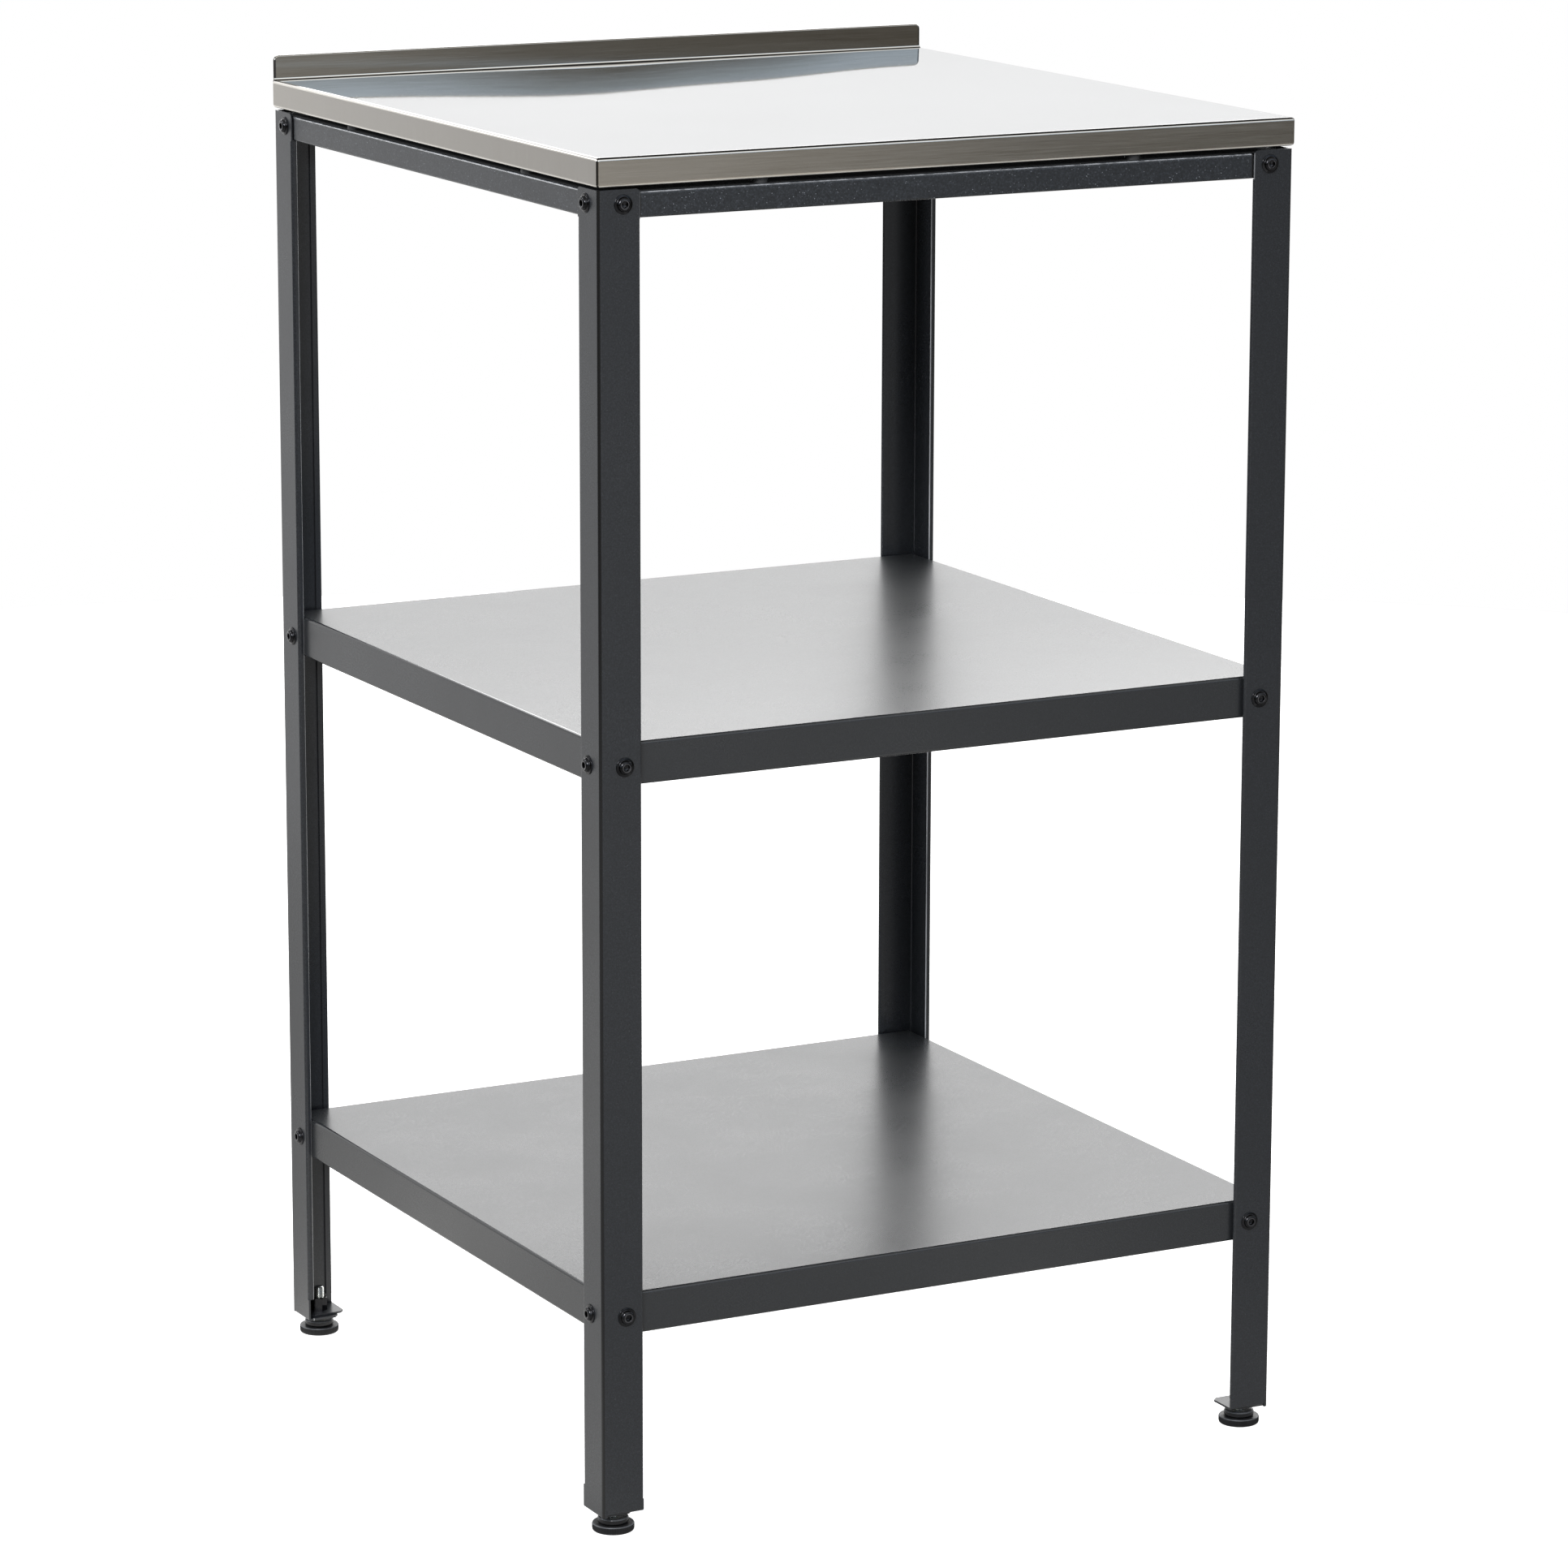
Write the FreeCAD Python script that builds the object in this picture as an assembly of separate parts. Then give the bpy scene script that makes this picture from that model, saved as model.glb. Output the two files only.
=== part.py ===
import FreeCAD, Part
import math
import os

V = FreeCAD.Vector

# ------------------------------------------------------------------
# Outdoor oven table: folded stainless worktop on a bolted sheet-metal
# frame with two shelf pans and four screw-adjustable feet.
# Millimetres. X is the width, Y the depth (rear edge is +Y), Z is up.
# Origin: on the floor, in the middle of the footprint.
# ------------------------------------------------------------------

# overall
width = 550.0              # worktop, left to right
depth = 550.0              # worktop, front to rear
height = 970.0             # floor to the worktop surface
upstand = 18.4             # rear upstand above the worktop surface

# worktop sheet
top_t = 1.0
skirt = 20.2               # height of the skirts
top_bend = 2.3             # outside bend radius
cove_r = 1.6               # at the foot of the upstand
return_w = 17.0            # return flange under the skirts
seam = 0.9                 # seam at the front corners
seam_reach = 1.4           # along the diagonal, from the sharp corner
upstand_inset = 0.7        # ends of the upstand inside the worktop sides
upstand_corner = 4.0       # rounded top corners of the upstand
slit = 0.2                 # between the two layers of the upstand

# frame
inset = 1.0                # leg faces behind the skirts
leg_t = 1.5
leg_ri = 0.8               # inside bend radius
leg_front = 31.9           # face width, front and rear flanges
leg_side = 31.2            # face width, left and right flanges
leg_bottom = 14.0
leg_top = 948.0
lip = 4.5                  # inward lip on the side flanges
hem = 5.0                  # closed hem on the front and rear flanges
lip_z0 = 31.0              # lips start here
hem_z0 = 24.5              # hems start here
lip_z1 = 927.5             # both end here
leg_corner = 3.5           # rounded top corners of the flanges
tab_side = 25.5            # bottom tabs folded inwards from the side flanges
tab_front = 27.0           # and from the front and rear flanges
tab_chamfer = 3.5
tab_ri = 0.2               # tight folds
tab_gap = 0.1
tab_clr = 3.2              # where the tabs start, from the corner
tab_slit = 0.25            # relief cut beside the corner

# rails
rail_top = 946.0
rail_h = 18.0
rail_t = 1.5
rail_recess = 1.6          # rail face behind the leg face
rail_flange = 33.0
rail_hem = 4.0

# shelves
shelf_t = 1.2
shelf_recess = 4.7         # shelf flange behind the leg face
shelf_h = 30.4
shelf_mid_top = 568.0
shelf_low_top = 175.2
shelf_bend = 2.2
shelf_return = 9.0

# screws
bolt_in = 19.0             # from the leg's outer corner faces
bolt_rail_z = 938.0
bolt_mid_z = 552.0
bolt_low_z = 159.6
m6_r = 3.0
hole_r = 3.3
nut_af = 10.0
nut_h = 5.0
head_r = 6.8
head_h = 3.3
shank = 12.0
fix_pos = 147.0            # worktop fixings along each side
fix_in = 10.5              # from the skirt's outer face

# feet
foot_in = 15.3             # from both outer faces of the leg
pad_r = 15.0
pad_rim = 5.7
collar_r = 11.0
collar_top = 10.3
groove_r = 9.6
stud_r = 4.0
stud_top = 34.5
bore_r = 4.05
rivet_r = 5.45
rivet_af = 11.0
rivet_top = 27.4

fx = width / 2 - inset     # leg outer faces, left and right
fy = depth / 2 - inset     # leg outer faces, front and rear

os.makedirs("parts", exist_ok=True)


def save(name, shape):
    shape.exportStep("parts/%s.step" % name)
    print(name, "solids", len(shape.Solids), "valid", shape.isValid(), "vol %.0f" % shape.Volume)


def box(x0, y0, z0, x1, y1, z1):
    return Part.makeBox(x1 - x0, y1 - y0, z1 - z0, V(x0, y0, z0))


def cyl(r, h, p, d=V(0, 0, 1)):
    return Part.makeCylinder(r, h, V(*p), d)


def fuse(shapes):
    s = shapes[0].multiFuse(shapes[1:]) if len(shapes) > 1 else shapes[0]
    return s.removeSplitter()


def rot(d, a):
    c, s = math.cos(a), math.sin(a)
    return (d[0] * c - d[1] * s, d[0] * s + d[1] * c)


def strip_wire(pts, t, ri, place):
    """Closed outline of a folded strip. pts is the outer face, seen end on;
    the sheet lies on the left of the path, with inside bend radius ri."""
    n = len(pts)
    dirs = []
    for i in range(n - 1):
        dx, dy = pts[i + 1][0] - pts[i][0], pts[i + 1][1] - pts[i][1]
        l = math.hypot(dx, dy)
        dirs.append((dx / l, dy / l))
    ref, off = [], []      # lists of ("p", point) or ("a", start, mid, end)
    left0 = rot(dirs[0], math.pi / 2)
    ref.append(("p", pts[0]))
    off.append(("p", (pts[0][0] + left0[0] * t, pts[0][1] + left0[1] * t)))
    for i in range(1, n - 1):
        a, b = dirs[i - 1], dirs[i]
        turn = math.atan2(a[0] * b[1] - a[1] * b[0], a[0] * b[0] + a[1] * b[1])
        rr = (ri + t) if turn > 0 else ri          # radius of the outer face
        ro = ri if turn > 0 else (ri + t)
        q = rr * math.tan(abs(turn) / 2)
        s = (pts[i][0] - a[0] * q, pts[i][1] - a[1] * q)
        sg = 1 if turn > 0 else -1
        ln = rot(a, math.pi / 2)
        c = (s[0] + ln[0] * rr * sg, s[1] + ln[1] * rr * sg)
        v0 = (-ln[0] * sg, -ln[1] * sg)
        arc = lambda r: [(c[0] + rot(v0, k * turn)[0] * r, c[1] + rot(v0, k * turn)[1] * r) for k in (0, 0.5, 1)]
        ref.append(("a",) + tuple(arc(rr)))
        off.append(("a",) + tuple(arc(ro)))
    left1 = rot(dirs[-1], math.pi / 2)
    ref.append(("p", pts[-1]))
    off.append(("p", (pts[-1][0] + left1[0] * t, pts[-1][1] + left1[1] * t)))
    back = []
    for e in reversed(off):
        back.append(e if e[0] == "p" else ("a", e[3], e[2], e[1]))
    edges, cur, first = [], None, None
    for e in ref + back:
        s = e[1]
        if cur is None:
            first = s
        elif math.hypot(cur[0] - s[0], cur[1] - s[1]) > 1e-6:
            edges.append(Part.makeLine(place(cur), place(s)))
        cur = s
        if e[0] == "a":
            edges.append(Part.Arc(place(e[1]), place(e[2]), place(e[3])).toShape())
            cur = e[3]
    edges.append(Part.makeLine(place(cur), place(first)))
    return Part.Wire(Part.__sortEdges__(edges))


def strip(pts, t, ri, place, run):
    return Part.Face(strip_wire(pts, t, ri, place)).extrude(run)


def mirror_x(s):
    return s.mirror(V(0, 0, 0), V(1, 0, 0))


def mirror_y(s):
    return s.mirror(V(0, 0, 0), V(0, 1, 0))


def four(s):
    """The same piece at the front left, front right, rear left and rear right."""
    return [s, mirror_x(s), mirror_y(s), mirror_x(mirror_y(s))]


def edges_where(shape, test):
    out = []
    for e in shape.Edges:
        b = e.BoundBox
        if test(b):
            out.append(e)
    return out


def flat_z(z):
    return lambda b: abs(b.ZMin - z) < 1e-6 and abs(b.ZMax - z) < 1e-6


def upright(b):
    return b.ZLength > 1 and b.XLength < 1e-6 and b.YLength < 1e-6


def pan(x, y, z0, z1, t, r, lip_w):
    """Shallow inverted pan of sheet t with outside bend radius r and a return flange lip_w wide."""
    outer = box(-x, -y, z0, x, y, z1)
    outer = outer.makeFillet(r * 0.8, edges_where(outer, upright))
    outer = outer.makeFillet(r, edges_where(outer, flat_z(z1)))
    outer = outer.makeFillet(r, edges_where(outer, flat_z(z0)))
    inner = box(-x + t, -y + t, z0 + t, x - t, y - t, z1 - t)
    ri = max(r - t, 0.3)
    inner = inner.makeFillet(max(r * 0.8 - t, 0.25), edges_where(inner, upright))
    inner = inner.makeFillet(ri, edges_where(inner, flat_z(z1 - t)))
    inner = inner.makeFillet(ri, edges_where(inner, flat_z(z0 + t)))
    s = outer.cut(inner)
    return s.cut(box(-x + lip_w, -y + lip_w, z0 - 1, x - lip_w, y - lip_w, z0 + t + 1))


def corner_slot(sx, sy, x, y, z0, z1, w, reach):
    """Slot across a corner, from outside the corner inwards along the diagonal."""
    b = box(-2, -w / 2, z0, reach, w / 2, z1)
    ang = math.degrees(math.atan2(-sy, -sx))
    b.rotate(V(0, 0, 0), V(0, 0, 1), ang)
    b.translate(V(sx * x, sy * y, 0))
    return b


# ---------------------------------------------------------------- worktop
zs = height - skirt
w = pan(width / 2, depth / 2, zs, height, top_t, top_bend, return_w)
for sx in (-1, 1):
    # seam at the front corners, closed from the inside, and mitred return flanges at all four
    w = w.cut(corner_slot(sx, -1, width / 2, depth / 2, zs - 1, height - 1.0, seam, seam_reach))
    for sy in (-1, 1):
        w = w.cut(corner_slot(sx, sy, width / 2, depth / 2, zs - 1, zs + top_t + 0.8, 1.2, return_w * 1.5))
# rear upstand: the sheet goes up, folds over and comes down as the rear skirt
ux = width / 2 - upstand_inset
ut = 2 * top_t + slit
yb = depth / 2
up = box(-ux, yb - ut, height - top_t, ux, yb, height + upstand)
up = up.makeFillet(upstand_corner, [e for e in up.Edges if e.BoundBox.YLength > 1 and e.BoundBox.ZLength < 1e-6
                                    and e.BoundBox.XLength < 1e-6 and e.BoundBox.ZMin > height + 1])
up = up.makeFillet(1.05, [e for e in up.Edges if e.BoundBox.ZMax > height + upstand - 1e-6 and e.BoundBox.XLength > 100])
up = up.fuse(box(-ux, yb - ut, height - 3.0, ux, yb - 0.0, height - 0.5))
cove = box(-ux, yb - ut - cove_r, height - 0.9, ux, yb - ut, height + cove_r)
cove = cove.cut(Part.makeCylinder(cove_r, 2 * ux, V(-ux, yb - ut - cove_r, height + cove_r), V(1, 0, 0)))
w = w.fuse([up, cove])
w = w.cut(box(-ux - 1, yb - top_t - slit, height - 12, ux + 1, yb - top_t, height + upstand - 1.2))
w = w.removeSplitter()
fix_xy = []
for s in (-1, 1):
    for q in (-1, 1):
        fix_xy.append((s * fix_pos, q * (depth / 2 - fix_in)))
        fix_xy.append((q * (width / 2 - fix_in), s * fix_pos))
for x, y in fix_xy:
    w = w.cut(cyl(hole_r, 4, (x, y, zs - 1)))
save("worktop", w)

# stiffening channel welded under the worktop
zt = height - top_t
hat = strip([(-42, zt), (-22, zt), (-22, zt - 17), (22, zt - 17), (22, zt), (42, zt)],
            top_t, 0.8, lambda p: V(-250, -p[0], p[1] - 0.0), V(500, 0, 0))
if hat.BoundBox.ZMax > zt + 1e-6:
    hat.translate(V(0, 0, zt - hat.BoundBox.ZMax))
save("worktop_stiffener", hat)

# ------------------------------------------------------------------ legs
def make_leg():
    """Front left leg, outer corner at x = 0, y = 0."""
    pz = lambda z: (lambda p: V(p[0], p[1], z))
    er = leg_t / 2         # rounded edges of the sheet
    full = strip([(lip - er, leg_side), (0, leg_side), (0, 0), (leg_front - leg_t, 0)], leg_t, leg_ri, pz(lip_z0), V(0, 0, lip_z1 - lip_z0))
    lip_rnd = cyl(er, lip_z1 - lip_z0, (lip - er, leg_side - er, lip_z0))
    hem_box = box(leg_front - hem, 0, hem_z0, leg_front - leg_t, 2 * leg_t, lip_z1)
    hem_rnd = cyl(leg_t, lip_z1 - hem_z0, (leg_front - leg_t, leg_t, hem_z0))
    above = strip([(0, leg_side - er), (0, 0), (leg_front - er, 0)], leg_t, leg_ri, pz(lip_z1), V(0, 0, leg_top - lip_z1))
    above_f = cyl(er, leg_top - lip_z1, (leg_front - er, er, lip_z1))
    above_s = cyl(er, leg_top - lip_z1, (er, leg_side - er, lip_z1))
    zc = leg_bottom + 5.6
    below = strip([(0, leg_side), (0, 0), (leg_front, 0)], leg_t, leg_ri, pz(zc), V(0, 0, hem_z0 - zc))
    between = strip([(0, leg_side), (0, 0), (leg_front - leg_t, 0)], leg_t, leg_ri, pz(hem_z0), V(0, 0, lip_z0 - hem_z0))
    # tabs folded inwards at the bottom: the side flange's lies under the front flange's
    clr = tab_clr
    side = strip([(0, zc), (0, leg_bottom), (tab_side, leg_bottom)], leg_t, tab_ri, lambda p: V(p[0], clr, p[1]), V(0, leg_side - clr, 0))
    zu = leg_bottom + leg_t + tab_gap
    front = strip([(0, zc), (0, zu), (tab_front, zu)], leg_t, tab_ri, lambda p: V(clr, p[0], p[1]), V(leg_front - clr, 0, 0))
    # the corner itself runs down between two relief cuts
    ce = clr - tab_slit
    corner = strip([(0, ce), (0, 0), (ce, 0)], leg_t, leg_ri, pz(leg_bottom + 0.2), V(0, 0, zc - leg_bottom - 0.2))
    c = tab_chamfer
    for (x, y, dx, dy) in ((tab_side, leg_side, -1, -1), (tab_side, clr, -1, 1)):
        tri = Part.Face(Part.makePolygon([V(x - 0.001 * dx, y - 0.001 * dy, 0), V(x + dx * c, y - 0.001 * dy, 0), V(x - 0.001 * dx, y + dy * c, 0), V(x - 0.001 * dx, y - 0.001 * dy, 0)]))
        side = side.cut(tri.extrude(V(0, 0, 40)))
    for (x, y, dx, dy) in ((leg_front, tab_front, -1, -1), (clr, tab_front, 1, -1)):
        tri = Part.Face(Part.makePolygon([V(x - 0.001 * dx, y - 0.001 * dy, 0), V(x + dx * c, y - 0.001 * dy, 0), V(x - 0.001 * dx, y + dy * c, 0), V(x - 0.001 * dx, y - 0.001 * dy, 0)]))
        front = front.cut(tri.extrude(V(0, 0, 40)))
    s = fuse([full, lip_rnd, hem_box, hem_rnd, above, above_f, above_s, between, below, side, front, corner])
    # rounded top corners of the two flanges
    r = leg_corner
    k = box(leg_front - r, -1, leg_top - r, leg_front + 1, leg_t + 1, leg_top + 1).cut(cyl(r, leg_t + 3, (leg_front - r, -1.5, leg_top - r), V(0, 1, 0)))
    s = s.cut(k)
    k = box(-1, leg_side - r, leg_top - r, leg_t + 1, leg_side + 1, leg_top + 1).cut(cyl(r, leg_t + 3, (-1.5, leg_side - r, leg_top - r), V(1, 0, 0)))
    s = s.cut(k)
    for z in (bolt_rail_z, bolt_mid_z, bolt_low_z):
        s = s.cut(cyl(hole_r, 4, (bolt_in, -1, z), V(0, 1, 0)))
        s = s.cut(cyl(hole_r, 4, (-1, bolt_in, z), V(1, 0, 0)))
    s = s.cut(cyl(rivet_r + 0.05, 6, (foot_in, foot_in, leg_bottom - 1)))
    s.translate(V(-fx, -fy, 0))
    return s


for name, s in zip(("leg_front_left", "leg_front_right", "leg_rear_left", "leg_rear_right"), four(make_leg())):
    save(name, s)

# ----------------------------------------------------------------- rails
zb = rail_top - rail_h


def make_rail(half, half_flange, face, along, holes_at, fix_at):
    """Rail along +x at y = -face, half is half its length."""
    body = strip([(0, rail_top), (0, zb)], rail_t, 0.8, lambda p: V(-half, -face + p[0], p[1]), V(2 * half, 0, 0))
    body = body.cut(box(-half - 1, -face - 1, rail_top - 3.0, half + 1, -face + rail_t + 1, rail_top + 1))
    top = strip([(rail_flange, rail_top), (0, rail_top), (0, rail_top - 3.0)], rail_t, 0.8,
                lambda p: V(-half_flange, -face + p[0], p[1]), V(2 * half_flange, 0, 0))
    ends = []
    for sx in (-1, 1):
        x0, x1 = sorted((sx * half_flange, sx * half))
        if x1 - x0 > 0.01:
            ends.append(box(x0, -face, rail_top - 3.0, x1, -face + rail_t, rail_top - 0.8))
    hem_b = box(-half, -face, zb + rail_t, half, -face + 2 * rail_t, zb + rail_hem)
    hem_r = cyl(rail_t, 2 * half, (-half, -face + rail_t, zb + rail_t), V(1, 0, 0))
    s = fuse([body.cut(box(-half - 1, -face - 1, zb - 1, half + 1, -face + rail_t + 1, zb + rail_t)), top, hem_b, hem_r] + ends)
    for x in holes_at:
        s = s.cut(cyl(hole_r, rail_t + 2, (x, -face - 1, bolt_rail_z), V(0, 1, 0)))
    for x in fix_at:
        s = s.cut(cyl(hole_r, 4, (x, -along, rail_top - 3)))
    return s


face_r = fy - rail_recess
bx = fx - bolt_in
by = fy - bolt_in
half_long = fx - leg_t - 0.3
front_rail = make_rail(half_long, fx - rail_recess - rail_t - 0.3, face_r, depth / 2 - fix_in, (-bx, bx), (-fix_pos, fix_pos))
# trim the corners of the front and rear rails where the leg's inside bend is
for sx in (-1, 1):
    x0, x1 = sorted((sx * (half_long - 1.2), sx * (half_long + 1)))
    front_rail = front_rail.cut(box(x0, -face_r - 0.5, zb - 1, x1, -face_r + 0.9, rail_top + 1))
save("rail_front", front_rail)
save("rail_rear", mirror_y(front_rail))
half_short = face_r - 2 * rail_t - 0.3
half_short_flange = face_r - rail_flange - 0.5
side_rail = make_rail(half_short, half_short_flange, fx - rail_recess, width / 2 - fix_in, (-by, by), (-fix_pos, fix_pos))
side_rail.rotate(V(0, 0, 0), V(0, 0, 1), -90)      # the rail's outer face now looks to -X
save("rail_left", side_rail)
save("rail_right", mirror_x(side_rail))

# --------------------------------------------------------------- shelves
sx_half = fx - shelf_recess
sy_half = fy - shelf_recess


def make_shelf(z_top, z_bolt):
    s = pan(sx_half, sy_half, z_top - shelf_h, z_top, shelf_t, shelf_bend, shelf_return)
    for a in (-1, 1):
        for b in (-1, 1):
            s = s.cut(corner_slot(a, b, sx_half, sy_half, z_top - shelf_h - 1, z_top - shelf_bend - 0.3, 1.0, 4.0))
            s = s.cut(corner_slot(a, b, sx_half, sy_half, z_top - shelf_h - 1, z_top - shelf_h + shelf_t + 1.2, 1.6, shelf_return * 1.5))
    for a in (-1, 1):
        s = s.cut(cyl(hole_r, 2 * sy_half + 4, (a * bx, -sy_half - 2, z_bolt), V(0, 1, 0)))
        s = s.cut(cyl(hole_r, 2 * sx_half + 4, (-sx_half - 2, a * by, z_bolt), V(1, 0, 0)))
    return s.removeSplitter()


save("shelf_middle", make_shelf(shelf_mid_top, bolt_mid_z))
save("shelf_lower", make_shelf(shelf_low_top, bolt_low_z))

# ------------------------------------------------------------- fasteners
def revolve(profile):
    """Solid of revolution about Z from (r, z) points; the first and last are on the axis."""
    pts = [V(r, 0, z) for r, z in profile]
    return Part.Face(Part.makePolygon(pts + [pts[0]])).revolve(V(0, 0, 0), V(0, 0, 1), 360)


def hexagon(af, z0, z1, turn=0.0):
    r = af / math.sqrt(3)
    pts = [V(r * math.cos(math.radians(60 * i + turn)), r * math.sin(math.radians(60 * i + turn)), z0) for i in range(7)]
    return Part.Face(Part.makePolygon(pts)).extrude(V(0, 0, z1 - z0))


def button_screw(shank_len, rim=head_r, h=head_h):
    """Flanged button-head screw, head above z = 0 and shank below."""
    prof = [(0, 0), (rim, 0), (rim, 0.45), (rim - 0.25, 0.75), (rim - 1.5, 0.95), (rim - 1.75, 1.5), (rim - 2.3, 2.4), (3.65, h), (0, h)]
    head = revolve(prof)
    head = head.cut(hexagon(4.0, h - 2.0, h + 1))
    shaft = revolve([(0, -shank_len), (m6_r - 0.6, -shank_len), (m6_r, -shank_len + 0.6), (m6_r, 0.0), (0, 0.0)])
    return head.fuse(shaft).removeSplitter()


def nut(af=nut_af, h=nut_h, bore=m6_r + 0.02):
    n = hexagon(af, 0, h)
    cap = revolve([(0, 0), (af / 2 + 0.35, 0), (af / 2 + 0.9, 0.35), (af / 2 + 0.9, h - 0.35), (af / 2 + 0.35, h), (0, h)])
    return n.common(cap).cut(cyl(bore, h + 2, (0, 0, -1)))


def ring(ro, ri, h):
    return cyl(ro, h, (0, 0, 0)).cut(cyl(ri, h + 2, (0, 0, -1)))


def aimed(s, d, p):
    """Turn a piece whose axis is +Z so that it points along d, and put it at p."""
    s = s.copy()
    d = V(*d)
    z = V(0, 0, 1)
    if abs(d.z - 1) > 1e-9:
        ax = z.cross(d) if abs(d.z + 1) > 1e-9 else V(1, 0, 0)
        s.rotate(V(0, 0, 0), ax, math.degrees(math.acos(max(-1, min(1, d.z)))))
    s.translate(V(*p))
    return s


def ring_of_eight(piece, z, dist):
    """Copies on the legs' outer faces, aimed outwards, dist inside the faces."""
    out = []
    for a in (-1, 1):
        for b in (-1, 1):
            out.append(aimed(piece, (0, b, 0), (a * bx, b * (fy - dist), z)))
            out.append(aimed(piece, (a, 0, 0), (a * (fx - dist), b * by, z)))
    return Part.makeCompound(out)


screw = button_screw(shank)
save("rail_screws", ring_of_eight(screw, bolt_rail_z, 0))
save("shelf_middle_screws", ring_of_eight(screw, bolt_mid_z, 0))
save("shelf_lower_screws", ring_of_eight(screw, bolt_low_z, 0))
save("rail_nuts", ring_of_eight(nut(), bolt_rail_z, rail_recess + rail_t + nut_h))
save("shelf_middle_nuts", ring_of_eight(nut(), bolt_mid_z, shelf_recess + shelf_t + nut_h))
save("shelf_lower_nuts", ring_of_eight(nut(), bolt_low_z, shelf_recess + shelf_t + nut_h))
spacer = ring(6.0, hole_r, shelf_recess - leg_t)
save("shelf_middle_spacers", ring_of_eight(spacer, bolt_mid_z, shelf_recess))
save("shelf_lower_spacers", ring_of_eight(spacer, bolt_low_z, shelf_recess))

fix_screw = button_screw(12.0, 5.4, 3.0)
zf = rail_top - rail_t
save("worktop_screws", Part.makeCompound([aimed(fix_screw, (0, 0, -1), (x, y, zf)) for x, y in fix_xy]))
save("worktop_spacers", Part.makeCompound([aimed(ring(5.6, hole_r, zs - rail_top), (0, 0, 1), (x, y, rail_top)) for x, y in fix_xy]))
save("worktop_nuts", Part.makeCompound([aimed(nut(), (0, 0, 1), (x, y, zs + top_t)) for x, y in fix_xy]))

# ------------------------------------------------------------------ feet
px, py = fx - foot_in, fy - foot_in
corners = (("front_left", -1, -1), ("front_right", 1, -1), ("rear_left", -1, 1), ("rear_right", 1, 1))

tabs_top = leg_bottom + 2 * leg_t + tab_gap
rivet = revolve([(0, leg_bottom - 1.0), (7.2, leg_bottom - 1.0), (7.5, leg_bottom - 0.7), (7.5, leg_bottom), (rivet_r, leg_bottom), (rivet_r, tabs_top), (0, tabs_top)])
hx = hexagon(rivet_af, tabs_top, rivet_top, 30)
hx = hx.common(revolve([(0, tabs_top), (6.4, tabs_top), (6.4, rivet_top - 0.6), (5.5, rivet_top), (0, rivet_top)]))
rivet = rivet.fuse(hx).removeSplitter().cut(cyl(bore_r, 40, (0, 0, 0)))
save("foot_rivet_nuts", Part.makeCompound([aimed(rivet, (0, 0, 1), (sx * px, sy * py, 0)) for _, sx, sy in corners]))

# pad: ribbed rim, groove, collar, and a cavity that keeps the stud's head
neck_z = 6.6
cav_r, cav_z = 6.1, 2.4
pad = revolve([(0, 0), (pad_r - 1.4, 0), (pad_r - 0.4, 0.4), (pad_r, 1.4), (pad_r, pad_rim - 0.5), (pad_r - 0.5, pad_rim), (groove_r, pad_rim + 0.1),
               (groove_r, pad_rim + 0.7), (collar_r - 0.3, pad_rim + 0.7), (collar_r, pad_rim + 1.0), (collar_r, collar_top - 1.0),
               (collar_r - 1.2, collar_top), (0, collar_top)])
pad = pad.cut(cyl(cav_r, neck_z - cav_z, (0, 0, cav_z))).cut(cyl(bore_r + 0.03, 20, (0, 0, cav_z)))
stud = revolve([(0, cav_z + 0.1), (cav_r - 0.4, cav_z + 0.1), (cav_r - 0.1, cav_z + 0.4), (cav_r - 0.1, neck_z - 0.2), (stud_r, neck_z - 0.2),
                (stud_r, stud_top - 1.0), (stud_r - 1.0, stud_top), (0, stud_top)])
for name, sx, sy in corners:
    save("foot_pad_" + name, aimed(pad, (0, 0, 1), (sx * px, sy * py, 0)))
    save("foot_stud_" + name, aimed(stud, (0, 0, 1), (sx * px, sy * py, 0)))
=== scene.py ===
import math
import random

import bmesh
import bpy
from mathutils import Matrix, Vector


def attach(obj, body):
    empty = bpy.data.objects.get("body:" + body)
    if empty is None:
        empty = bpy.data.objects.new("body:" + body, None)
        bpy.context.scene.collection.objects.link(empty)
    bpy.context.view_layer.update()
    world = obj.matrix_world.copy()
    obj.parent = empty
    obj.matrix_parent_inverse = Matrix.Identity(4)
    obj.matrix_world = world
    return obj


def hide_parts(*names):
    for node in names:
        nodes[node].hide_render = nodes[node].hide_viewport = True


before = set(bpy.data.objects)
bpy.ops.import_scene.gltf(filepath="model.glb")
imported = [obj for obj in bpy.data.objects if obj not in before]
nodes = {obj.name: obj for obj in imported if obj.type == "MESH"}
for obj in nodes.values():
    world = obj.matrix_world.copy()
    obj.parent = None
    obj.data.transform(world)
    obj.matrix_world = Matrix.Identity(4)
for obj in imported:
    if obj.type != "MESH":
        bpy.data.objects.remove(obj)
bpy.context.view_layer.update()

# ------------------------------------------------------------------ sizes, metres
MM = 0.001
FX = 0.274                 # outer faces of the legs
BX = FX - 0.019            # screw axes
RAIL_Z, MID_Z, LOW_Z = 0.938, 0.552, 0.1596
FOOT = FX - 0.0153         # foot axes
TOP_Z = 0.970


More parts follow.
